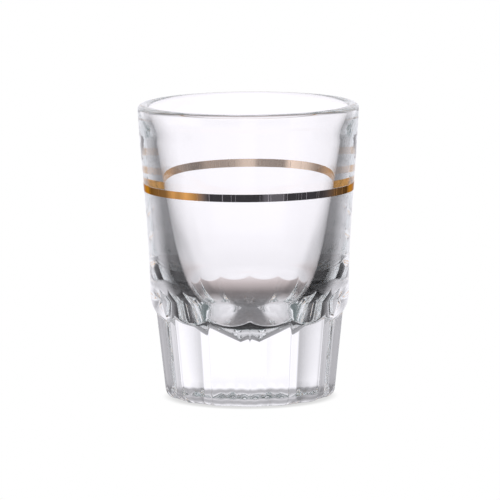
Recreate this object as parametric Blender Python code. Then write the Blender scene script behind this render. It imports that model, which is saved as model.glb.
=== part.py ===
"""Fluted shot glass with a fired gold fill line, at its real size in metres, +Z up.

The origin is the centre of the resting plane. The glass is one pressed piece: a thick wall
that tapers up to a rounded lip, over a solid base with concave flutes, which the wall overhangs
with a rounded collar. The fill line is a film of gold fired on the outside of the wall.
"""

import math

import bmesh
import bpy

# The wall outside, from the waist above the base up to the lip
HEIGHT = 0.072
RIM_RADIUS = 0.027
RIM_DRAFT = math.radians(2.9)
WAIST_RADIUS = 0.0243
WAIST_HEIGHT = 0.0254
COLLAR_RADIUS = 0.0082

# The lip, rounded outside and inside, and the cove under it, which runs from upright to the taper
LIP_THICKNESS = 0.0027
LIP_OUTER_WIDTH = 0.0016
LIP_OUTER_DROP = 0.0012
LIP_INNER_DROP = 0.0014
COVE_HEIGHT = 0.0065
COVE_PULL = 0.0020

# The cavity: a tapered wall that runs into a bowl with a shallow cone for its bottom
WALL_THICKNESS = 0.0034
CAVITY_DRAFT = math.radians(9.85)
BOWL_HEIGHT = 0.0285
BOWL_SIDE_PULL = 0.0240
BOWL_FLOOR_PULL = 0.0140
BOWL_FLOOR_SLOPE = math.radians(20.6)
FLOOR_THICKNESS = 0.01505

# The fluted base
FLUTE_COUNT = 14
FOOT_RADIUS = 0.0210
RIDGE_INSET = 0.0005
FLUTE_HOLLOW = 0.0003
HEEL_RADIUS = 0.0024
FOOT_RING_WIDTH = 0.0031
RECESS_DEPTH = 0.0009

# The gold fill line, which follows the wall
BAND_HEIGHT = 0.0518
BAND_WIDTH = 0.00185
BAND_THICKNESS = 0.00015
BAND_CLEARANCE = 0.00005

# Fineness of the facets
COLUMNS_PER_FLUTE = 6
RECESS_RINGS = 3
HEEL_RINGS = 4
FLUTE_RINGS = 3
COLLAR_RINGS = 4
WALL_RINGS = 8
LIP_RINGS = 4
COVE_RINGS = 5
TAPER_RINGS = 4
BOWL_RINGS = 14
RECESS_CAP_SHARE = 0.12
BOWL_CAP_SHARE = 0.04
BISECTIONS = 40
SMOOTH_ANGLE = math.radians(25)

COLUMNS = FLUTE_COUNT * COLUMNS_PER_FLUTE
HALF_FLUTE = math.pi / FLUTE_COUNT
WALL_TOP = HEIGHT - LIP_OUTER_DROP
COVE_TOP = HEIGHT - LIP_INNER_DROP
TAPER_TOP = COVE_TOP - COVE_HEIGHT
BOWL_TOP = FLOOR_THICKNESS + BOWL_HEIGHT


def fractions(count):
    """Even steps from just above 0 up to 1."""
    return [(i + 1) / count for i in range(count)]


def bezier(start, start_handle, end_handle, end, t):
    """A point (radius, height) on a cubic curve."""
    u = 1 - t
    weights = (u**3, 3 * u * u * t, 3 * u * t * t, t**3)
    points = (start, start_handle, end_handle, end)
    return tuple(sum(w * p[i] for w, p in zip(weights, points)) for i in (0, 1))


def wall_radius(height):
    """Outside of the wall: upright at the waist, leaning out by the draft at the lip."""
    span = WALL_TOP - WAIST_HEIGHT
    t = (height - WAIST_HEIGHT) / span
    ease = t * t * (3 - 2 * t)
    lean = (t**3 - t**2) * span * math.tan(RIM_DRAFT)
    return WAIST_RADIUS + (RIM_RADIUS - WAIST_RADIUS) * ease + lean


def collar_radius(height):
    """The arc that turns the wall in under the waist."""
    drop = WAIST_HEIGHT - height
    return WAIST_RADIUS - COLLAR_RADIUS + math.sqrt(max(COLLAR_RADIUS**2 - drop**2, 0))


def flute_radius(angle, height):
    """The fluted base: hollow panels between ridges, tapering towards the foot."""
    ridge_at_waist = WAIST_RADIUS - RIDGE_INSET
    ridge = FOOT_RADIUS + (ridge_at_waist - FOOT_RADIUS) * height / WAIST_HEIGHT
    across = angle % (2 * HALF_FLUTE) - HALF_FLUTE
    panel = ridge * math.cos(HALF_FLUTE) / math.cos(across)
    return panel - FLUTE_HOLLOW * (1 - (across / HALF_FLUTE) ** 2)


def flute_top(angle):
    """Height at which the collar meets the flute, lowest in the middle of each flute."""
    low = WAIST_HEIGHT - COLLAR_RADIUS
    high = WAIST_HEIGHT
    for _ in range(BISECTIONS):
        middle = (low + high) / 2
        if collar_radius(middle) > flute_radius(angle, middle):
            high = middle
        else:
            low = middle
    return (low + high) / 2


def cavity_radius(height):
    """The tapered stretch of the cavity, a wall's thickness inside the wall at its top."""
    at_top = wall_radius(TAPER_TOP) - WALL_THICKNESS
    return at_top - (TAPER_TOP - height) * math.tan(CAVITY_DRAFT)


def turned(radius, height):
    """A ring with the same radius and height all round."""
    return lambda angle: (radius, height)


def underside_rings():
    foot_edge = flute_radius(HALF_FLUTE, 0) - HEEL_RADIUS
    recess_radius = foot_edge - FOOT_RING_WIDTH
    reach = 1 - RECESS_CAP_SHARE
    shares = [RECESS_CAP_SHARE] + [RECESS_CAP_SHARE + reach * f for f in fractions(RECESS_RINGS)]
    return [turned(recess_radius * s, RECESS_DEPTH * (1 - s * s)) for s in shares]


def heel_rings():
    def ring(turn):
        inset = HEEL_RADIUS * (1 - math.sin(turn))
        height = HEEL_RADIUS * (1 - math.cos(turn))
        return lambda angle: (flute_radius(angle, height) - inset, height)

    return [ring(f * math.pi / 2) for f in [0.0] + fractions(HEEL_RINGS)]


def flute_rings():
    def ring(share):
        def place(angle):
            height = HEEL_RADIUS + (flute_top(angle) - HEEL_RADIUS) * share
            return flute_radius(angle, height), height

        return place

    return [ring(f) for f in fractions(FLUTE_RINGS)]


def collar_rings():
    def ring(share):
        def place(angle):
            start = flute_top(angle)
            height = start + (WAIST_HEIGHT - start) * share
            return collar_radius(height), height

        return place

    return [ring(f) for f in fractions(COLLAR_RINGS)]


def wall_rings():
    span = WALL_TOP - WAIST_HEIGHT
    heights = [WAIST_HEIGHT + span * f for f in fractions(WALL_RINGS)]
    return [turned(wall_radius(h), h) for h in heights]


def lip_rings():
    crest = RIM_RADIUS - LIP_OUTER_WIDTH
    inner_width = LIP_THICKNESS - LIP_OUTER_WIDTH
    rings = []
    for f in fractions(LIP_RINGS):
        turn = f * math.pi / 2
        radius = crest + LIP_OUTER_WIDTH * math.cos(turn)
        rings.append(turned(radius, WALL_TOP + LIP_OUTER_DROP * math.sin(turn)))
    for f in fractions(LIP_RINGS):
        turn = f * math.pi / 2
        radius = crest - inner_width * math.sin(turn)
        rings.append(turned(radius, COVE_TOP + LIP_INNER_DROP * math.cos(turn)))
    return rings


def cove_rings():
    start = (RIM_RADIUS - LIP_THICKNESS, COVE_TOP)
    end = (cavity_radius(TAPER_TOP), TAPER_TOP)
    follow = TAPER_TOP + COVE_PULL
    handles = ((start[0], COVE_TOP - COVE_PULL), (cavity_radius(follow), follow))
    return [turned(*bezier(start, *handles, end, f)) for f in fractions(COVE_RINGS)]


def cavity_rings():
    span = TAPER_TOP - BOWL_TOP
    heights = [TAPER_TOP - span * f for f in fractions(TAPER_RINGS)]
    rings = [turned(cavity_radius(h), h) for h in heights]
    start = (cavity_radius(BOWL_TOP), BOWL_TOP)
    side = (cavity_radius(BOWL_TOP - BOWL_SIDE_PULL), BOWL_TOP - BOWL_SIDE_PULL)
    floor = (BOWL_FLOOR_PULL, FLOOR_THICKNESS + BOWL_FLOOR_PULL * math.tan(BOWL_FLOOR_SLOPE))
    centre = (0.0, FLOOR_THICKNESS)
    shares = [f * (1 - BOWL_CAP_SHARE) for f in fractions(BOWL_RINGS)]
    return rings + [turned(*bezier(start, side, floor, centre, s)) for s in shares]


def place_ring(verts, ring):
    """Moves each vertex along its own direction from the axis to the ring's place."""
    for vert in verts:
        angle = math.atan2(vert.co.x, -vert.co.y)
        radius, height = ring(angle)
        vert.co = (radius * math.sin(angle), -radius * math.cos(angle), height)


def loft(rings):
    """A closed body: one circle, drawn out ring by ring and capped at both ends."""
    body = bmesh.new()
    seed = bmesh.ops.create_circle(body, segments=COLUMNS, radius=RIM_RADIUS, cap_ends=True)
    place_ring(seed["verts"], rings[0])
    edges = list(body.edges)
    for ring in rings[1:]:
        drawn = bmesh.ops.extrude_edge_only(body, edges=edges)["geom"]
        place_ring([g for g in drawn if isinstance(g, bmesh.types.BMVert)], ring)
        edges = [e for e in drawn if isinstance(e, bmesh.types.BMEdge) and e.is_boundary]
    bmesh.ops.contextual_create(body, geom=edges)
    bmesh.ops.recalc_face_normals(body, faces=body.faces)
    return body


def band_ring():
    """The film's section, set off the wall by its clearance and spun round the axis."""
    body = bmesh.new()
    corners = []
    for side, offset in ((-1, 0), (1, 0), (1, 1), (-1, 1)):
        height = BAND_HEIGHT + side * BAND_WIDTH / 2
        radius = wall_radius(height) + BAND_CLEARANCE + offset * BAND_THICKNESS
        corners.append(body.verts.new((0, -radius, height - BAND_HEIGHT)))
    section = [body.edges.new((corners[i - 1], corners[i])) for i in range(len(corners))]
    bmesh.ops.spin(
        body, geom=corners + section, cent=(0, 0, 0), axis=(0, 0, 1),
        angle=2 * math.pi, steps=COLUMNS, use_merge=True,
    )
    bmesh.ops.recalc_face_normals(body, faces=body.faces)
    return body


def material(name, colour, roughness, metallic, transmission):
    made = bpy.data.materials.new(name)
    made.use_nodes = True
    shader = made.node_tree.nodes["Principled BSDF"]
    shader.inputs["Base Color"].default_value = (*colour, 1)
    shader.inputs["Roughness"].default_value = roughness
    shader.inputs["Metallic"].default_value = metallic
    shader.inputs["Transmission Weight"].default_value = transmission
    return made


def add_piece(name, body, finish, parent, height):
    mesh = bpy.data.meshes.new(name)
    body.to_mesh(mesh)
    body.free()
    mesh.materials.append(finish)
    mesh.shade_smooth()
    mesh.set_sharp_from_angle(angle=SMOOTH_ANGLE)
    piece = bpy.data.objects.new(name, mesh)
    bpy.context.scene.collection.objects.link(piece)
    piece.parent = parent
    piece.location.z = height
    return piece


def main():
    for old in list(bpy.data.objects):
        bpy.data.objects.remove(old)
    stand = bpy.data.objects.new("shot_glass", None)
    bpy.context.scene.collection.objects.link(stand)
    clear_glass = material("clear_pressed_glass", (0.93, 0.96, 0.95), 0.03, 0.0, 1.0)
    fired_gold = material("fired_gold", (0.80, 0.53, 0.20), 0.22, 1.0, 0.0)
    outside = underside_rings() + heel_rings() + flute_rings() + collar_rings() + wall_rings()
    inside = lip_rings() + cove_rings() + cavity_rings()
    add_piece("glass_body", loft(outside + inside), clear_glass, stand, 0)
    add_piece("gold_band", band_ring(), fired_gold, stand, BAND_HEIGHT)


main()
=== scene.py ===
"""Fluted shot glass with a gold fill line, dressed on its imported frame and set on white.

The glass body and the gold line are turned from the frame's sizes, finer than the frame's own
solids, and take their finishes from node materials. Lengths are in metres, +Z up.
"""

import math
from types import SimpleNamespace

import bmesh
import bpy
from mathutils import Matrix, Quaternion, Vector


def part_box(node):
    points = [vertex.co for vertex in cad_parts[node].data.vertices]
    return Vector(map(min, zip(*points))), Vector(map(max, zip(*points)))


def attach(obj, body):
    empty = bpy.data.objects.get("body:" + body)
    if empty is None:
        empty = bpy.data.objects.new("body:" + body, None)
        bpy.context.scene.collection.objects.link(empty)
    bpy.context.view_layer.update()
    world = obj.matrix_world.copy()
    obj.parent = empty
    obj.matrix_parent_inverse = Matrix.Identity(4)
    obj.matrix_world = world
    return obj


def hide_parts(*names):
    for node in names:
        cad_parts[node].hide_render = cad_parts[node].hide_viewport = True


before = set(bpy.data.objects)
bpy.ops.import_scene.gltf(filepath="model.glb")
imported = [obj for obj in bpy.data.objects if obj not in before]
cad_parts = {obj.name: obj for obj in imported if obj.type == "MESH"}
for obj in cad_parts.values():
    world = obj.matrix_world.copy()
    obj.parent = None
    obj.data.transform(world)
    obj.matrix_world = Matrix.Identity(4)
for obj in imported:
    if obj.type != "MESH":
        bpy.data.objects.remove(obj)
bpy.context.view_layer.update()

bl_info = {
    "name": "Shot Glass",
    "version": (1, 0, 0),
    "blender": (4, 5, 0),
    "location": "View3D > Sidebar > Shot Glass",
    "description": "Makes a fluted shot glass with a gold fill line, and a white set for it",
    "category": "Object",
}

GLASS_LOW, GLASS_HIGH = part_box("glass_body")
BAND_LOW, BAND_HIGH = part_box("gold_band")
MM = 0.001

# Fineness of the turned meshes: columns for each flute, and rings for each stretch of the section
COLUMNS_PER_FLUTE = 24
UNDERSIDE_RINGS = 10
HEEL_RINGS = 16
FLUTE_RINGS = 12
CREASE_RINGS = 16
COLLAR_RINGS = 12
WALL_RINGS = 24
LIP_RINGS = 10
COVE_RINGS = 14
TAPER_RINGS = 10
BOWL_RINGS = 40

# How the rings are placed: columns crowd towards the ridges, the crease's rings reach so many
# roundings to each side, and a flute's top is found in so many halvings
RIDGE_CROWDING = 0.7
CREASE_REACH = 3
BISECTIONS = 40
MERGE_DISTANCE = 1e-6
SHARP_EDGE = math.radians(40)

# Uneven spacing of the dimples, as waves of (phase in radians, times round, start in radians)
DIMPLE_WANDER = ((1.6, 5, 0), (2.4, 2, 1))

# Camera, fitted to the square frame of the photograph, in pixels where the name says so
FRAME_PIXELS = 500
AXIS_PIXEL = 249.3
PIXELS_PER_METRE = 4.09e3
AIM_HEIGHT = 35.83 * MM
CAMERA_DISTANCE = 1.5
CAMERA_SLOPE = 0.112
SENSOR_WIDTH = 36
CLIP_END = 100

# Floor of the set, a hair under the resting plane
FLOOR_RADIUS = 6.0
FLOOR_SEGMENTS = 96
FLOOR_GAP = 0.2 * MM

# Light paths: enough bounces for thick glass
MAX_BOUNCES = 32
GLOSSY_BOUNCES = 24


class ShotGlassSizes(bpy.types.PropertyGroup):
    """Real sizes of the glass and its gold line."""

    height: bpy.props.FloatProperty(
        name="Height", description="From the resting plane to the lip",
        default=GLASS_HIGH.z, unit="LENGTH", precision=4)
    rim_radius: bpy.props.FloatProperty(
        name="Rim Radius", description="Outside of the wall just under the lip",
        default=GLASS_HIGH.x, unit="LENGTH", precision=4)
    rim_draft: bpy.props.FloatProperty(
        name="Rim Draft", description="Lean of the wall at the lip",
        default=math.radians(2.9), subtype="ANGLE")
    waist_radius: bpy.props.FloatProperty(
        name="Waist Radius", description="Outside of the wall above the base",
        default=24.3 * MM, unit="LENGTH", precision=4)
    waist_height: bpy.props.FloatProperty(
        name="Waist Height", description="Where the wall starts to turn in to the base",
        default=25.4 * MM, unit="LENGTH", precision=4)
    collar_radius: bpy.props.FloatProperty(
        name="Collar Radius", description="Arc that turns the wall in under the waist",
        default=8.2 * MM, unit="LENGTH", precision=4)
    lip_thickness: bpy.props.FloatProperty(
        name="Lip Thickness", description="Glass at the lip, outside to inside",
        default=2.7 * MM, unit="LENGTH", precision=4)
    lip_outer_width: bpy.props.FloatProperty(
        name="Lip Outer Width", description="Width of the lip's outer rounding",
        default=1.6 * MM, unit="LENGTH", precision=4)
    lip_outer_drop: bpy.props.FloatProperty(
        name="Lip Outer Drop", description="Height of the lip's outer rounding",
        default=1.2 * MM, unit="LENGTH", precision=4)
    lip_inner_drop: bpy.props.FloatProperty(
        name="Lip Inner Drop", description="Height of the lip's inner rounding",
        default=1.4 * MM, unit="LENGTH", precision=4)
    cove_height: bpy.props.FloatProperty(
        name="Cove Height", description="Stretch under the lip in which the wall thickens",
        default=6.5 * MM, unit="LENGTH", precision=4)
    cove_pull: bpy.props.FloatProperty(
        name="Cove Pull", description="How far the cove keeps its direction at each end",
        default=2.0 * MM, unit="LENGTH", precision=4)
    wall_thickness: bpy.props.FloatProperty(
        name="Wall Thickness", description="Wall below the cove",
        default=3.4 * MM, unit="LENGTH", precision=4)
    cavity_draft: bpy.props.FloatProperty(
        name="Cavity Draft", description="Taper of the inside below the cove",
        default=math.radians(9.85), subtype="ANGLE")
    bowl_height: bpy.props.FloatProperty(
        name="Bowl Height", description="Height over which the taper turns into the bottom",
        default=28.5 * MM, unit="LENGTH", precision=4)
    bowl_side_pull: bpy.props.FloatProperty(
        name="Bowl Side Pull", description="How far the bowl follows the taper",
        default=24.0 * MM, unit="LENGTH", precision=4)
    bowl_floor_pull: bpy.props.FloatProperty(
        name="Bowl Floor Pull", description="How far the bowl's bottom stays a cone",
        default=14.0 * MM, unit="LENGTH", precision=4)
    bowl_floor_slope: bpy.props.FloatProperty(
        name="Bowl Floor Slope", description="How steeply the bowl's bottom rises from its middle",
        default=math.radians(20.6), subtype="ANGLE")
    floor_thickness: bpy.props.FloatProperty(
        name="Floor Thickness", description="Solid glass under the bowl",
        default=15.05 * MM, unit="LENGTH", precision=4)
    flute_count: bpy.props.IntProperty(
        name="Flutes", description="Hollow panels round the base", default=14, min=3)
    foot_radius: bpy.props.FloatProperty(
        name="Foot Radius", description="Ridges between the flutes, at the resting plane",
        default=21.0 * MM, unit="LENGTH", precision=4)
    ridge_inset: bpy.props.FloatProperty(
        name="Ridge Inset", description="How far the ridges would lie inside the waist there",
        default=0.5 * MM, unit="LENGTH", precision=4)
    ridge_round: bpy.props.FloatProperty(
        name="Ridge Rounding", description="Half the width over which a ridge is rounded",
        default=0.22 * MM, unit="LENGTH", precision=5)
    flute_hollow: bpy.props.FloatProperty(
        name="Flute Hollow", description="How far a panel's middle lies behind its chord",
        default=0.3 * MM, unit="LENGTH", precision=4)
    crease_round: bpy.props.FloatProperty(
        name="Crease Rounding", description="Softness of the crease under the collar",
        default=0.35 * MM, unit="LENGTH", precision=5)
    heel_radius: bpy.props.FloatProperty(
        name="Heel Radius", description="Rounding where the flutes meet the resting plane",
        default=2.4 * MM, unit="LENGTH", precision=4)
    foot_ring_width: bpy.props.FloatProperty(
        name="Foot Ring Width", description="Flat ring that the glass stands on",
        default=3.1 * MM, unit="LENGTH", precision=4)
    recess_depth: bpy.props.FloatProperty(
        name="Recess Depth", description="Shallow hollow in the underside",
        default=0.9 * MM, unit="LENGTH", precision=4)
    dimple_depth: bpy.props.FloatProperty(
        name="Dimple Depth", description="Depth of the pressed dimples round the heel",
        default=0.11 * MM, unit="LENGTH", precision=5)
    dimple_count: bpy.props.IntProperty(
        name="Dimples", description="Dimples once round the heel", default=37, min=0)
    band_height: bpy.props.FloatProperty(
        name="Line Height", description="Middle of the gold line above the resting plane",
        default=(BAND_LOW.z + BAND_HIGH.z) / 2, unit="LENGTH", precision=4)
    band_width: bpy.props.FloatProperty(
        name="Line Width", description="Width of the gold line up the wall",
        default=BAND_HIGH.z - BAND_LOW.z, unit="LENGTH", precision=4)
    band_sink: bpy.props.FloatProperty(
        name="Line Sink", description="How far the fired film bites into the glass",
        default=0.02 * MM, unit="LENGTH", precision=5)
    band_proud: bpy.props.FloatProperty(
        name="Line Proud", description="How far the film stands off the wall",
        default=0.05 * MM, unit="LENGTH", precision=5)


class ShotGlassFinish(bpy.types.PropertyGroup):
    """Colours of the glass and the gold."""

    glass_tint: bpy.props.FloatVectorProperty(
        name="Glass Tint", description="Colour that deep glass takes on",
        default=(0.70, 0.83, 0.85), size=3, subtype="COLOR", min=0, max=1)
    glass_density: bpy.props.FloatProperty(
        name="Glass Density", description="How soon the tint shows, per metre", default=2.5)
    glass_waves: bpy.props.FloatProperty(
        name="Glass Waves", description="Height of the faint waves left by the mould",
        default=0.006 * MM, unit="LENGTH", precision=5)
    gold_light: bpy.props.FloatVectorProperty(
        name="Gold", description="Gold where it is thick",
        default=(0.86, 0.44, 0.13), size=3, subtype="COLOR", min=0, max=1)
    gold_dark: bpy.props.FloatVectorProperty(
        name="Thin Gold", description="Gold where it is thin",
        default=(0.68, 0.34, 0.11), size=3, subtype="COLOR", min=0, max=1)
    # Grey mixed into the gold's front stretch: a painted reflection tone
    gold_painted_grey: bpy.props.FloatVectorProperty(
        name="Worn Gold", description="Gold where it is rubbed",
        default=(0.56, 0.53, 0.56), size=3, subtype="COLOR", min=0, max=1)
    # The film's back, paler only on the far side: a painted lighter tone
    gold_painted_pale_back: bpy.props.FloatVectorProperty(
        name="Back of the Gold", description="The film's side against the glass",
        default=(0.85, 0.67, 0.53), size=3, subtype="COLOR", min=0, max=1)
    gold_edge: bpy.props.FloatVectorProperty(
        name="Gold Edge", description="Gold seen along its surface",
        default=(0.5, 0.34, 0.2), size=3, subtype="COLOR", min=0, max=1)


class ShotGlassStage(bpy.types.PropertyGroup):
    """Tones of the white set as the glass and the gold show it, and the camera's lean."""

    through_tone: bpy.props.FloatProperty(
        name="Through Tone", description="Set seen straight through the glass", default=1.09)
    deep_floor: bpy.props.FloatProperty(
        name="Deep Floor", description="Floor seen after many bounces in the glass", default=0.7)
    # Painted contact shadow: the floor's tone round the foot as the camera sees it
    shadow_tone: bpy.props.FloatProperty(
        name="Shadow Tone", description="Tone of the floor where the glass stands on it", default=0.72)
    through_tint: bpy.props.FloatVectorProperty(
        name="Through Tint", description="Colour of the set seen straight through",
        default=(1.0, 0.975, 1.03), size=3, subtype="COLOR")
    # Warm colour of the painted shadow round the foot, seen through the glass
    near_tint: bpy.props.FloatVectorProperty(
        name="Near Tint", description="Colour of the floor close to the glass, seen through it",
        default=(1.06, 0.92, 0.93), size=3, subtype="COLOR")
    room_tint: bpy.props.FloatVectorProperty(
        name="Room Tint", description="Colour of the set in reflections",
        default=(1.0, 0.98, 1.035), size=3, subtype="COLOR")
    deep_tint: bpy.props.FloatVectorProperty(
        name="Deep Tint", description="Colour of the high room after many bounces",
        default=(0.85, 1.0, 1.03), size=3, subtype="COLOR")
    backdrop_turn: bpy.props.FloatProperty(
        name="Backdrop Turn", description="How far the backdrop's middle lies to the right",
        default=math.radians(4), subtype="ANGLE")
    camera_roll: bpy.props.FloatProperty(
        name="Camera Roll", description="How far the camera leans to the right",
        default=math.radians(0.43), subtype="ANGLE")


def fractions(count):
    """Even steps from just above 0 up to 1."""
    return [(i + 1) / count for i in range(count)]


def bezier(start, start_handle, end_handle, end, t):
    """A point (radius, height) on a cubic curve."""
    u = 1 - t
    weights = (u**3, 3 * u * u * t, 3 * u * t * t, t**3)
    points = (start, start_handle, end_handle, end)
    return tuple(sum(w * p[i] for w, p in zip(weights, points)) for i in (0, 1))


def soft_max(a, b, width):
    """The larger of two lengths, with the change between them rounded over a width."""
    blend = max(width - abs(a - b), 0) / width
    return max(a, b) + blend * blend * width / 4


class GlassForm:
    """The glass as rings from the underside's middle over the lip to the bowl's bottom."""

    def __init__(self, sizes):
        self.sizes = SimpleNamespace(**{n: getattr(sizes, n) for n in ShotGlassSizes.__annotations__})
        self.half_flute = math.pi / sizes.flute_count
        self.wall_top = sizes.height - sizes.lip_outer_drop
        self.cove_top = sizes.height - sizes.lip_inner_drop
        self.taper_top = self.cove_top - sizes.cove_height
        self.bowl_top = sizes.floor_thickness + sizes.bowl_height
        self.tops = {}

    def wall_radius(self, height):
        """Outside of the wall, upright at the waist and at its draft under the lip."""
        sizes = self.sizes
        span = self.wall_top - sizes.waist_height
        t = (height - sizes.waist_height) / span
        ease = t * t * (3 - 2 * t)
        lean = (t**3 - t**2) * span * math.tan(sizes.rim_draft)
        return sizes.waist_radius + (sizes.rim_radius - sizes.waist_radius) * ease + lean

    def collar_radius(self, height):
        """The arc that turns the wall in under the waist."""
        sizes = self.sizes
        drop = sizes.waist_height - height
        across = math.sqrt(max(sizes.collar_radius**2 - drop**2, 0))
        return sizes.waist_radius - sizes.collar_radius + across

    def flute_radius(self, angle, height):
        """A hollow panel between two ridges, at an angle measured from a ridge."""
        sizes = self.sizes
        ridge_at_waist = sizes.waist_radius - sizes.ridge_inset
        ridge = sizes.foot_radius + (ridge_at_waist - sizes.foot_radius) * height / sizes.waist_height
        turn = angle % (2 * self.half_flute)
        from_ridge = min(turn, 2 * self.half_flute - turn)
        across = self.half_flute - math.hypot(from_ridge, sizes.ridge_round / ridge)
        panel = ridge * math.cos(self.half_flute) / math.cos(across)
        return panel - sizes.flute_hollow * (1 - (across / self.half_flute) ** 2)

    def flute_top(self, angle):
        """Height at which a panel meets the collar's arc, found by halving."""
        turn = round(angle % (2 * self.half_flute), 9)
        if turn not in self.tops:
            low, high = self.sizes.waist_height - self.sizes.collar_radius, self.sizes.waist_height
            for _ in range(BISECTIONS):
                middle = (low + high) / 2
                if self.collar_radius(middle) > self.flute_radius(turn, middle):
                    high = middle
                else:
                    low = middle
            self.tops[turn] = (low + high) / 2
        return self.tops[turn]

    def outer_radius(self, angle, height):
        """Flutes and collar together, with a soft crease between them."""
        collar = self.collar_radius(height)
        return soft_max(collar, self.flute_radius(angle, height), self.sizes.crease_round)

    def cavity_radius(self, height):
        """Inside of the wall along its taper below the cove."""
        at_top = self.wall_radius(self.taper_top) - self.sizes.wall_thickness
        return at_top - (self.taper_top - height) * math.tan(self.sizes.cavity_draft)

    def turned(self, radius, height):
        """A plain round ring."""
        return lambda angle: (radius, height)

    def dimple(self, angle, share):
        """Depth of the dimples across the heel, from the resting plane (0) to its top (1)."""
        sizes = self.sizes
        wander = sum(reach * math.sin(times * angle + start) for reach, times, start in DIMPLE_WANDER)
        wave = math.sin(sizes.dimple_count * angle + wander)
        return sizes.dimple_depth * math.sin(math.pi * share) * (1 + wave) / 2

    def underside(self):
        sizes = self.sizes
        edge = self.flute_radius(self.half_flute, 0) - sizes.heel_radius - sizes.foot_ring_width
        shares = [0.0] + fractions(UNDERSIDE_RINGS)
        return [self.turned(edge * f, sizes.recess_depth * (1 - f * f)) for f in shares]

    def heel(self):
        sizes = self.sizes

        def ring(share):
            turn = share * math.pi / 2
            inset = sizes.heel_radius * (1 - math.sin(turn))
            height = sizes.heel_radius * (1 - math.cos(turn))

            def place(angle):
                dip = self.dimple(angle, share)
                radius = self.flute_radius(angle, height) - inset
                return radius - dip * math.sin(turn), height + dip * math.cos(turn)

            return place

        return [ring(f) for f in [0.0] + fractions(HEEL_RINGS)]

    def base(self):
        """The flutes, the crease at their tops and the collar over them."""
        sizes = self.sizes
        reach = CREASE_REACH * sizes.crease_round

        def ring(part, share):
            def place(angle):
                top = self.flute_top(angle)
                if part == "flute":
                    height = sizes.heel_radius + (top - reach - sizes.heel_radius) * share
                elif part == "crease":
                    height = top - reach + 2 * reach * share
                else:
                    height = top + reach + (sizes.waist_height - top - reach) * share
                return self.outer_radius(angle, height), height

            return place

        rings = [ring("flute", f) for f in fractions(FLUTE_RINGS)]
        rings += [ring("crease", f) for f in fractions(CREASE_RINGS)]
        return rings + [ring("collar", f) for f in fractions(COLLAR_RINGS)]

    def wall(self):
        span = self.wall_top - self.sizes.waist_height
        heights = [self.sizes.waist_height + span * f for f in fractions(WALL_RINGS)]
        return [self.turned(self.wall_radius(h), h) for h in heights]

    def lip(self):
        sizes = self.sizes
        crest = sizes.rim_radius - sizes.lip_outer_width
        inner_width = sizes.lip_thickness - sizes.lip_outer_width
        rings = []
        for f in fractions(LIP_RINGS):
            turn = f * math.pi / 2
            radius = crest + sizes.lip_outer_width * math.cos(turn)
            rings.append(self.turned(radius, self.wall_top + sizes.lip_outer_drop * math.sin(turn)))
        for f in fractions(LIP_RINGS):
            turn = f * math.pi / 2
            radius = crest - inner_width * math.sin(turn)
            rings.append(self.turned(radius, self.cove_top + sizes.lip_inner_drop * math.cos(turn)))
        return rings

    def cove(self):
        sizes = self.sizes
        start = (sizes.rim_radius - sizes.lip_thickness, self.cove_top)
        end = (self.cavity_radius(self.taper_top), self.taper_top)
        handles = (
            (start[0], self.cove_top - sizes.cove_pull),
            (self.cavity_radius(self.taper_top + sizes.cove_pull), self.taper_top + sizes.cove_pull),
        )
        return [self.turned(*bezier(start, *handles, end, f)) for f in fractions(COVE_RINGS)]

    def cavity(self):
        sizes = self.sizes
        span = self.taper_top - self.bowl_top
        heights = [self.taper_top - span * f for f in fractions(TAPER_RINGS)]
        rings = [self.turned(self.cavity_radius(h), h) for h in heights]
        start = (self.cavity_radius(self.bowl_top), self.bowl_top)
        follow = self.bowl_top - sizes.bowl_side_pull
        side = (self.cavity_radius(follow), follow)
        rise = sizes.bowl_floor_pull * math.tan(sizes.bowl_floor_slope)
        floor = (sizes.bowl_floor_pull, sizes.floor_thickness + rise)
        centre = (0.0, sizes.floor_thickness)
        bowl = [bezier(start, side, floor, centre, f) for f in fractions(BOWL_RINGS)]
        return rings + [self.turned(*point) for point in bowl]

    def rings(self):
        outside = self.underside() + self.heel() + self.base() + self.wall()
        return outside + self.lip() + self.cove() + self.cavity()


def spin_section(body, section, columns):
    """Turns a section's vertices and edges once round the axis."""
    bmesh.ops.spin(
        body, geom=section, cent=(0, 0, 0), axis=(0, 0, 1),
        angle=2 * math.pi, steps=columns, use_merge=True,
    )


def turn_rings(rings, flute_count):
    """A closed body through rings whose first and last lie on the axis."""
    body = bmesh.new()
    row = body.verts.layers.int.new("row")
    section = []
    for number, ring in enumerate(rings):
        radius, height = ring(0.0)
        vert = body.verts.new((0, -radius, height))
        vert[row] = number
        section.append(vert)
    section += [body.edges.new(pair) for pair in zip(section, section[1:])]
    columns = flute_count * COLUMNS_PER_FLUTE
    spin_section(body, section, columns)
    for vert in body.verts:
        column = round(math.atan2(vert.co.x, -vert.co.y) * columns / (2 * math.pi))
        even = 2 * math.pi * column / columns
        angle = even - RIDGE_CROWDING * math.sin(flute_count * even) / flute_count
        radius, height = rings[vert[row]](angle)
        vert.co = (radius * math.sin(angle), -radius * math.cos(angle), height)
    bmesh.ops.remove_doubles(body, verts=body.verts, dist=MERGE_DISTANCE)
    bmesh.ops.recalc_face_normals(body, faces=body.faces)
    return body


def add_piece(name, body, finish, node):
    """Makes a shaded piece of a bmesh and puts it in place of its node in the frame."""
    mesh = bpy.data.meshes.new(name)
    body.to_mesh(mesh)
    body.free()
    mesh.materials.append(finish)
    mesh.shade_smooth()
    piece = bpy.data.objects.new(name, mesh)
    bpy.context.scene.collection.objects.link(piece)
    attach(piece, "root")
    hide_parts(node)
    return piece


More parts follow.
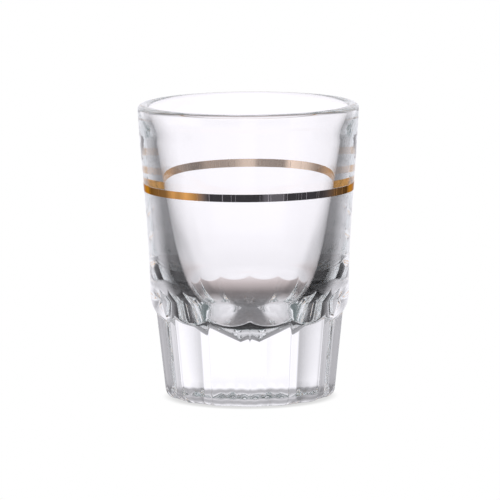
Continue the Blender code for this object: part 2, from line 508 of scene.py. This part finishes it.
def add_node(tree, kind, inputs=None, **settings):
    """A node with its settings, and its sockets set to values or linked to other sockets."""
    made = tree.nodes.new(kind)
    for name, value in settings.items():
        setattr(made, name, value)
    for socket, value in (inputs or {}).items():
        if isinstance(value, bpy.types.NodeSocket):
            tree.links.new(value, made.inputs[socket])
        else:
            made.inputs[socket].default_value = value
    return made


def add_math(tree, operation, a, b=0.0):
    return add_node(tree, "ShaderNodeMath", {0: a, 1: b}, operation=operation).outputs[0]


def new_material(name):
    made = bpy.data.materials.new(name)
    made.use_nodes = True
    made.node_tree.nodes.clear()
    return made


def ramp(tree, value, low, high, at_low=0.0, at_high=1.0):
    """Runs smoothly from one value to another over a stretch."""
    made = add_node(tree, "ShaderNodeMapRange", {
        0: value, 1: low, 2: high, 3: at_low, 4: at_high,
    }, interpolation_type="SMOOTHSTEP")
    return made.outputs[0]


def tone_curve(tree, value, stops):
    """A tone that follows a value through stops of (value, tone)."""
    low, high = stops[0][0], stops[-1][0]
    share = add_node(tree, "ShaderNodeMapRange", {0: value, 1: low, 2: high}).outputs[0]
    made = add_node(tree, "ShaderNodeValToRGB", {0: share})
    points = made.color_ramp.elements
    points.remove(points[1])
    for number, (at, tone) in enumerate(stops):
        place = (at - low) / (high - low)
        point = points[0] if number == 0 else points.new(place)
        point.position = place
        point.color = (tone, tone, tone, 1)
    return made.outputs[0]


def mix_value(tree, factor, a, b):
    return add_node(tree, "ShaderNodeMix", {0: factor, 2: a, 3: b}).outputs[0]


def mix_colour(tree, factor, a, b):
    """Mixes two colours, each a socket or a plain colour."""
    ends = [c if isinstance(c, bpy.types.NodeSocket) else (*c, 1) for c in (a, b)]
    made = add_node(tree, "ShaderNodeMix", {0: factor, 6: ends[0], 7: ends[1]}, data_type="RGBA")
    return made.outputs[2]


# Pressed glass
GLASS_IOR = 1.52
WAVE_SCALE = 130.0

# Fired gold, with angles in degrees round from the front
PATCH_SCALE = 160.0
PATCH_ROUGHNESS = (0.03, 0.12)
# Share of painted reflection grey in the gold by angle, full over the front stretch
PAINTED_GREY_FRONT = ((-180, 0.2), (-40, 0), (-30, 0), (-22, 1), (38, 1), (46, 0.75), (54, 0.1), (180, 0.1))
SCRATCH_SCALE = 1.3
SCRATCH_EDGE = (0.66, 0.72)
SCRATCH_ROUGHNESS = 0.5
# Degrees from the front over which the film's back turns to the painted lighter tone
PAINTED_PALE_BACK = (100, 140)


def pressed_glass(finish):
    """Clear glass with faint waves from the mould, tinted where it is thick."""
    made = new_material("pressed_glass")
    tree = made.node_tree
    output = add_node(tree, "ShaderNodeOutputMaterial")
    place = add_node(tree, "ShaderNodeTexCoord").outputs["Object"]
    waves = add_node(tree, "ShaderNodeTexNoise", {
        "Vector": place, "Scale": WAVE_SCALE, "Detail": 1.0,
    })
    bump = add_node(tree, "ShaderNodeBump", {
        "Strength": 1.0, "Distance": finish.glass_waves, "Height": waves.outputs[0],
    })
    shader = add_node(tree, "ShaderNodeBsdfPrincipled", {
        "Base Color": (1, 1, 1, 1), "Roughness": 0.0, "IOR": GLASS_IOR,
        "Transmission Weight": 1.0, "Normal": bump.outputs[0],
    })
    tree.links.new(shader.outputs[0], output.inputs["Surface"])
    depth = add_node(tree, "ShaderNodeVolumeAbsorption", {
        "Color": (*finish.glass_tint, 1), "Density": finish.glass_density,
    })
    tree.links.new(depth.outputs[0], output.inputs["Volume"])
    return made


def fired_gold(finish):
    """Bright gold, greyed along its front as a painted reflection and paler on the far side's back as
    a painted lighter tone, with fine upright scratches.
    """
    made = new_material("fired_gold")
    tree = made.node_tree
    output = add_node(tree, "ShaderNodeOutputMaterial")
    place = add_node(tree, "ShaderNodeTexCoord").outputs["Object"]
    axes = add_node(tree, "ShaderNodeSeparateXYZ", {0: place}).outputs
    forward = add_math(tree, "MULTIPLY", axes[1], -1.0)
    azimuth = add_math(tree, "ARCTAN2", axes[0], forward)
    degrees = add_math(tree, "MULTIPLY", azimuth, math.degrees(1))
    patch = add_node(tree, "ShaderNodeTexNoise", {
        "Vector": place, "Scale": PATCH_SCALE, "Detail": 4.0,
    }).outputs[0]
    outer = mix_colour(tree, patch, finish.gold_light, finish.gold_dark)
    # Painted reflection: the gold's front stretch greyed
    outer = mix_colour(tree, tone_curve(tree, degrees, PAINTED_GREY_FRONT), outer, finish.gold_painted_grey)
    # Painted lighter tone on the film's back, on the far side only
    pale = ramp(tree, add_math(tree, "ABSOLUTE", degrees), *PAINTED_PALE_BACK)
    inner = mix_colour(tree, pale, finish.gold_light, finish.gold_painted_pale_back)
    normal = add_node(tree, "ShaderNodeNewGeometry").outputs["Normal"]
    facing = add_node(tree, "ShaderNodeVectorMath", {0: normal, 1: place}, operation="DOT_PRODUCT")
    inside = add_math(tree, "LESS_THAN", facing.outputs["Value"], 0.0)
    streaks = add_node(tree, "ShaderNodeTexNoise", {
        "W": degrees, "Scale": SCRATCH_SCALE, "Detail": 2.0,
    }, noise_dimensions="1D").outputs[0]
    scratch = ramp(tree, streaks, *SCRATCH_EDGE)
    rough = mix_value(tree, patch, *PATCH_ROUGHNESS)
    shader = add_node(tree, "ShaderNodeBsdfPrincipled", {
        "Base Color": mix_colour(tree, inside, outer, inner),
        "Roughness": mix_value(tree, scratch, rough, SCRATCH_ROUGHNESS),
        "Metallic": 1.0, "Specular Tint": (*finish.gold_edge, 1),
    })
    tree.links.new(shader.outputs[0], output.inputs["Surface"])
    return made


# The set as the glass and the gold show it, in tones of white. Most of these stops were rounded from
# a fit of the set's light to the tones of the photograph, and then changed.
# A lone pair, such as FLOOR_FAR, is a stretch over which one tone turns into another.
# The floor: stops of (metres from the axis, tone), first as seen straight through the glass, then as
# bounced inside it to the back, the sides and the front, then as reflected by the outside
# Near the axis their low tones are a painted shadow round the glass's foot; further out they are the
# set's greys and whites
THROUGH_BEHIND = (
    (0, 0.25), (0.022, 0.14), (0.03, 0.14), (0.042, 0.4), (0.055, 0.6), (0.075, 0.9), (0.16, 1))
THROUGH_ASIDE = (
    (0, 0.85), (0.019, 0.8), (0.024, 0.36), (0.03, 0.12), (0.042, 0.25), (0.075, 0.68), (0.16, 1))
FLOOR_BACK = (
    (0, 0), (0.014, 0), (0.022, 0.3), (0.032, 0.33), (0.06, 0.6), (0.11, 0.64), (0.24, 1.02))
FLOOR_SIDE = (
    (0, 0), (0.022, 0.08), (0.045, 0), (0.06, 0.05), (0.11, 0.22), (0.16, 0.27), (0.4, 0.8))
FLOOR_FRONT = (
    (0, 0), (0.014, 0), (0.022, 0.4), (0.045, 0.33), (0.06, 0.52), (0.11, 0.76), (0.24, 1))
FLOOR_OUTSIDE = ((0, 0.3), (0.06, 0.75), (0.12, 1))
# Where the warm near_tint colours the painted shadow round the foot, seen through the glass
FLOOR_WARM = ((0, 0), (0.02, 0), (0.028, 1), (0.05, 1), (0.08, 0))
FLOOR_WIDE = (0.06, 0.12)
FLOOR_FAR = (0.14, 0.19)
# Stretch from the axis over which the painted contact shadow fades to white
PAINTED_CONTACT_SHADOW = (0.0185, 0.022)

# The room above the floor: stops of (degrees above the horizon, tone)
SKY_THROUGH = ((0, 1.02), (4, 0.8), (9, 0.45), (18, 0.42), (28, 0.7), (40, 1.1), (90, 1.1))
SKY_BACK = ((0, 1.1), (20, 1.08), (33, 0.97), (50, 0.82), (90, 0.62))
SKY_SIDE = ((0, 0.55), (12, 0.54), (20, 0.35), (33, 0.01), (50, 0.05), (90, 0.36))
SKY_FRONT = ((0, 0.9), (6, 0.7), (12, 0.4), (20, 0.42), (33, 0.74), (50, 0.62), (90, 0.35))
SKY_DEEP = ((0, 1), (27, 0.88), (40, 0.2), (90, 0.15))
SKY_HIGH = (28, 40)

# Sectors: stops of (degrees to either side of the back, share)
BACKDROP = ((0, 1), (18, 1), (28, 0.82), (46, 0.42), (62, 0.42), (76, 1), (180, 1))
BACK_SECTOR = ((0, 1), (20, 1), (50, 0), (180, 0))
FRONT_SECTOR = ((0, 0), (110, 0), (135, 1), (180, 1))
BEHIND = (20, 31)
BEFORE = (66, 80)

# Dark and pale panels on the far floor: stops of (degrees round from the back, positive to the right,
# tone), for what the outside reflects and for what is reflected after it entered the glass. They
# follow the light and dark stretches along the gold line in the photograph.
PANELS_OUTSIDE = (
    (-180, 0.065), (-138, 0.065), (-124, 0.45), (-110, 0.95), (-100, 0.6), (-92, 0.8), (-80, 0.28),
    (-46, 0.28), (-38, 1), (38, 1), (48, 0.13), (64, 0.16), (82, 0.17), (96, 0.07), (141, 0.07),
    (143.5, 0.21), (164, 0.21), (166.5, 0.065), (180, 0.065))
PANELS_INSIDE = (
    (-180, 0.8), (-174, 0.8), (-168, 0.3), (-132, 0.26), (-122, 1.15), (-96, 1), (-80, 0.6),
    (80, 0.24), (96, 0.14), (108, 0.16), (122, 0.38), (145, 0.34), (162, 0.46), (174, 0.8), (180, 0.8))

# Bounces inside the glass up to which a ray still shows the room's pattern
FEW_BOUNCES = 3


class Room:
    """Tones of the set by direction from the glass, and by what a ray met on its way.

    Glossy Depth counts its reflections and Transmission Depth its passes into and out of the glass.
    """

    def __init__(self, tree, stage, place):
        self.tree = tree
        self.stage = stage
        self.place = place
        axes = add_node(tree, "ShaderNodeSeparateXYZ", {0: place}).outputs
        self.rise = axes[2]
        azimuth = add_math(tree, "ARCTAN2", axes[0], axes[1])
        self.degrees = add_math(tree, "MULTIPLY", azimuth, math.degrees(1))
        turned = add_math(tree, "SUBTRACT", self.degrees, math.degrees(stage.backdrop_turn))
        self.backdrop = tone_curve(tree, add_math(tree, "ABSOLUTE", turned), BACKDROP)
        aside = add_math(tree, "ABSOLUTE", self.degrees)
        self.back = tone_curve(tree, aside, BACK_SECTOR)
        self.front = tone_curve(tree, aside, FRONT_SECTOR)
        self.before = ramp(tree, aside, *BEFORE)
        self.behind = ramp(tree, aside, *BEHIND, 1.0, 0.0)
        path = add_node(tree, "ShaderNodeLightPath").outputs
        self.camera = path["Is Camera Ray"]
        self.reflected = add_math(tree, "GREATER_THAN", path["Glossy Depth"], 0.5)
        self.deep = add_math(tree, "GREATER_THAN", path["Glossy Depth"], FEW_BOUNCES + 0.5)
        self.outside = add_math(tree, "LESS_THAN", path["Transmission Depth"], 0.5)
        self.tint = mix_colour(tree, self.reflected, stage.through_tint, stage.room_tint)

    def distance(self):
        """Metres from the axis, on the floor."""
        length = add_node(self.tree, "ShaderNodeVectorMath", {0: self.place}, operation="LENGTH")
        return length.outputs["Value"]

    def elevation(self):
        """Degrees above the horizon, in the world."""
        angle = add_math(self.tree, "ARCSINE", self.rise)
        return add_math(self.tree, "MULTIPLY", angle, math.degrees(1))

    def mix(self, factor, a, b):
        return mix_value(self.tree, factor, a, b)

    def curve(self, value, stops):
        return tone_curve(self.tree, value, stops)

    def around(self, reach, back, side, front):
        """A tone by distance or elevation, with stops behind, beside and before the glass."""
        tone = self.mix(self.back, self.curve(reach, side), self.curve(reach, back))
        return self.mix(self.front, tone, self.curve(reach, front))

    def light(self, output, kind, reflected, deep, through, seen):
        """Sends out a level to each kind of ray: reflected, deeply reflected, refracted, camera."""
        tree = self.tree
        through = add_math(tree, "MULTIPLY", through, self.stage.through_tone)
        level = self.mix(self.reflected, through, self.mix(self.deep, reflected, deep))
        level = self.mix(self.camera, level, seen)
        colour = mix_colour(tree, self.camera, self.tint, (1, 1, 1))
        glow = add_node(tree, kind, {"Color": colour, "Strength": level})
        tree.links.new(glow.outputs[0], output.inputs["Surface"])


def white_floor(stage):
    """White to the camera with a painted contact shadow round the foot, and toned for glass and gold,
    with painted shadow near the foot where they see the floor.
    """
    made = new_material("white_floor")
    tree = made.node_tree
    output = add_node(tree, "ShaderNodeOutputMaterial")
    room = Room(tree, stage, add_node(tree, "ShaderNodeTexCoord").outputs["Object"])
    distance = room.distance()
    far = ramp(tree, distance, *FLOOR_FAR)
    # Near the axis these floor tones are a painted shadow round the foot
    outer = room.curve(distance, FLOOR_OUTSIDE)
    outer = room.mix(far, outer, room.curve(room.degrees, PANELS_OUTSIDE))
    inner = room.around(distance, FLOOR_BACK, FLOOR_SIDE, FLOOR_FRONT)
    far_before = add_math(tree, "MULTIPLY", far, room.before)
    inner = room.mix(far_before, inner, room.curve(room.degrees, PANELS_INSIDE))
    reflected = room.mix(room.outside, inner, outer)
    aside = room.curve(distance, THROUGH_ASIDE)
    through = room.mix(room.behind, aside, room.curve(distance, THROUGH_BEHIND))
    wide = room.mix(ramp(tree, distance, *FLOOR_WIDE), 1.0, room.backdrop)
    through = add_math(tree, "MULTIPLY", through, wide)
    # Painted shadow round the foot, tinted warm where the glass sees it
    warm = room.mix(room.reflected, room.curve(distance, FLOOR_WARM), 0.0)
    room.tint = mix_colour(tree, warm, room.tint, stage.near_tint)
    # Painted contact shadow round the foot, for camera rays
    shadow = ramp(tree, distance, *PAINTED_CONTACT_SHADOW, stage.shadow_tone, 1.0)
    room.light(output, "ShaderNodeEmission", reflected, stage.deep_floor, through, shadow)
    return made


def white_room(stage):
    """White to the camera, and toned for the glass and the gold."""
    made = bpy.data.worlds.new("white_room")
    made.use_nodes = True
    tree = made.node_tree
    tree.nodes.clear()
    output = add_node(tree, "ShaderNodeOutputWorld")
    room = Room(tree, stage, add_node(tree, "ShaderNodeTexCoord").outputs["Generated"])
    elevation = room.elevation()
    reflected = room.around(elevation, SKY_BACK, SKY_SIDE, SKY_FRONT)
    through = add_math(tree, "MULTIPLY", room.curve(elevation, SKY_THROUGH), room.backdrop)
    high = add_math(tree, "MULTIPLY", room.deep, ramp(tree, elevation, *SKY_HIGH))
    room.tint = mix_colour(tree, high, room.tint, stage.deep_tint)
    deep = room.curve(elevation, SKY_DEEP)
    room.light(output, "ShaderNodeBackground", reflected, deep, through, 1.0)
    return made


def add_floor(scene):
    """A wide disc under the glass."""
    body = bmesh.new()
    bmesh.ops.create_circle(body, segments=FLOOR_SEGMENTS, radius=FLOOR_RADIUS, cap_ends=True)
    mesh = bpy.data.meshes.new("white_floor")
    body.to_mesh(mesh)
    body.free()
    mesh.materials.append(white_floor(scene.shot_glass_stage))
    floor = bpy.data.objects.new("white_floor", mesh)
    floor.location.z = -FLOOR_GAP
    scene.collection.objects.link(floor)


def add_camera(scene):
    """Looks down at the glass a little, with its axis where the photograph has it."""
    rise = CAMERA_SLOPE * CAMERA_DISTANCE
    place = Vector((0, -CAMERA_DISTANCE, scene.shot_glass_sizes.height + rise))
    aim = Vector((0, 0, AIM_HEIGHT))
    lens = bpy.data.cameras.new("camera")
    lens.sensor_width = SENSOR_WIDTH
    lens.lens = SENSOR_WIDTH * PIXELS_PER_METRE * (place - aim).length / FRAME_PIXELS
    lens.shift_x = (FRAME_PIXELS / 2 - AXIS_PIXEL) / FRAME_PIXELS
    lens.clip_end = CLIP_END
    camera = bpy.data.objects.new("camera", lens)
    camera.location = place
    camera.rotation_mode = "QUATERNION"
    roll = Quaternion((0, 0, 1), -scene.shot_glass_stage.camera_roll)
    camera.rotation_quaternion = (aim - place).to_track_quat("-Z", "Y") @ roll
    scene.collection.objects.link(camera)
    scene.camera = camera


class SHOTGLASS_OT_stage(bpy.types.Operator):
    """Set the white floor, the room's light and the camera."""

    bl_idname = "shotglass.stage"
    bl_label = "Stage"

    def execute(self, context):
        scene = context.scene
        add_floor(scene)
        add_camera(scene)
        scene.world = white_room(scene.shot_glass_stage)
        scene.view_settings.view_transform = "Standard"
        scene.cycles.use_denoising = True
        scene.cycles.max_bounces = MAX_BOUNCES
        scene.cycles.transmission_bounces = MAX_BOUNCES
        scene.cycles.glossy_bounces = GLOSSY_BOUNCES
        return {"FINISHED"}


class SHOTGLASS_OT_glass_body(bpy.types.Operator):
    """Turn the pressed glass body with its fluted base."""

    bl_idname = "shotglass.glass_body"
    bl_label = "Glass Body"

    def execute(self, context):
        sizes = context.scene.shot_glass_sizes
        body = turn_rings(GlassForm(sizes).rings(), sizes.flute_count)
        finish = pressed_glass(context.scene.shot_glass_finish)
        add_piece("pressed_glass_body", body, finish, "glass_body")
        return {"FINISHED"}


class SHOTGLASS_OT_gold_line(bpy.types.Operator):
    """Fire the gold fill line on the wall."""

    bl_idname = "shotglass.gold_line"
    bl_label = "Gold Line"

    def execute(self, context):
        sizes = context.scene.shot_glass_sizes
        form = GlassForm(sizes)
        low = sizes.band_height - sizes.band_width / 2
        high = sizes.band_height + sizes.band_width / 2
        sunk, proud = -sizes.band_sink, sizes.band_proud
        body = bmesh.new()
        corners = []
        for height, offset in ((low, sunk), (high, sunk), (high, proud), (low, proud)):
            corners.append(body.verts.new((0, -form.wall_radius(height) - offset, height)))
        section = [body.edges.new((corners[i - 1], corners[i])) for i in range(len(corners))]
        spin_section(body, corners + section, sizes.flute_count * COLUMNS_PER_FLUTE)
        bmesh.ops.recalc_face_normals(body, faces=body.faces)
        finish = fired_gold(context.scene.shot_glass_finish)
        piece = add_piece("fired_gold_line", body, finish, "gold_band")
        piece.data.set_sharp_from_angle(angle=SHARP_EDGE)
        return {"FINISHED"}


OPERATORS = (SHOTGLASS_OT_stage, SHOTGLASS_OT_glass_body, SHOTGLASS_OT_gold_line)


class SHOTGLASS_PT_panel(bpy.types.Panel):
    """Lists the pieces, and the sizes, colours and tones they are made from."""

    bl_idname = "SHOTGLASS_PT_panel"
    bl_label = "Shot Glass"
    bl_space_type = "VIEW_3D"
    bl_region_type = "UI"
    bl_category = "Shot Glass"

    def draw(self, context):
        for operator in OPERATORS:
            self.layout.operator(operator.bl_idname)
        scene = context.scene
        for group in (scene.shot_glass_sizes, scene.shot_glass_finish, scene.shot_glass_stage):
            for name in group.__annotations__:
                self.layout.prop(group, name)


CLASSES = (ShotGlassSizes, ShotGlassFinish, ShotGlassStage, *OPERATORS, SHOTGLASS_PT_panel)


def register():
    for made in CLASSES:
        bpy.utils.register_class(made)
    bpy.types.Scene.shot_glass_sizes = bpy.props.PointerProperty(type=ShotGlassSizes)
    bpy.types.Scene.shot_glass_finish = bpy.props.PointerProperty(type=ShotGlassFinish)
    bpy.types.Scene.shot_glass_stage = bpy.props.PointerProperty(type=ShotGlassStage)


def unregister():
    del bpy.types.Scene.shot_glass_stage
    del bpy.types.Scene.shot_glass_finish
    del bpy.types.Scene.shot_glass_sizes
    for made in reversed(CLASSES):
        bpy.utils.unregister_class(made)


def main():
    register()
    bpy.ops.shotglass.stage()
    bpy.ops.shotglass.glass_body()
    bpy.ops.shotglass.gold_line()


if __name__ == "__main__":
    main()
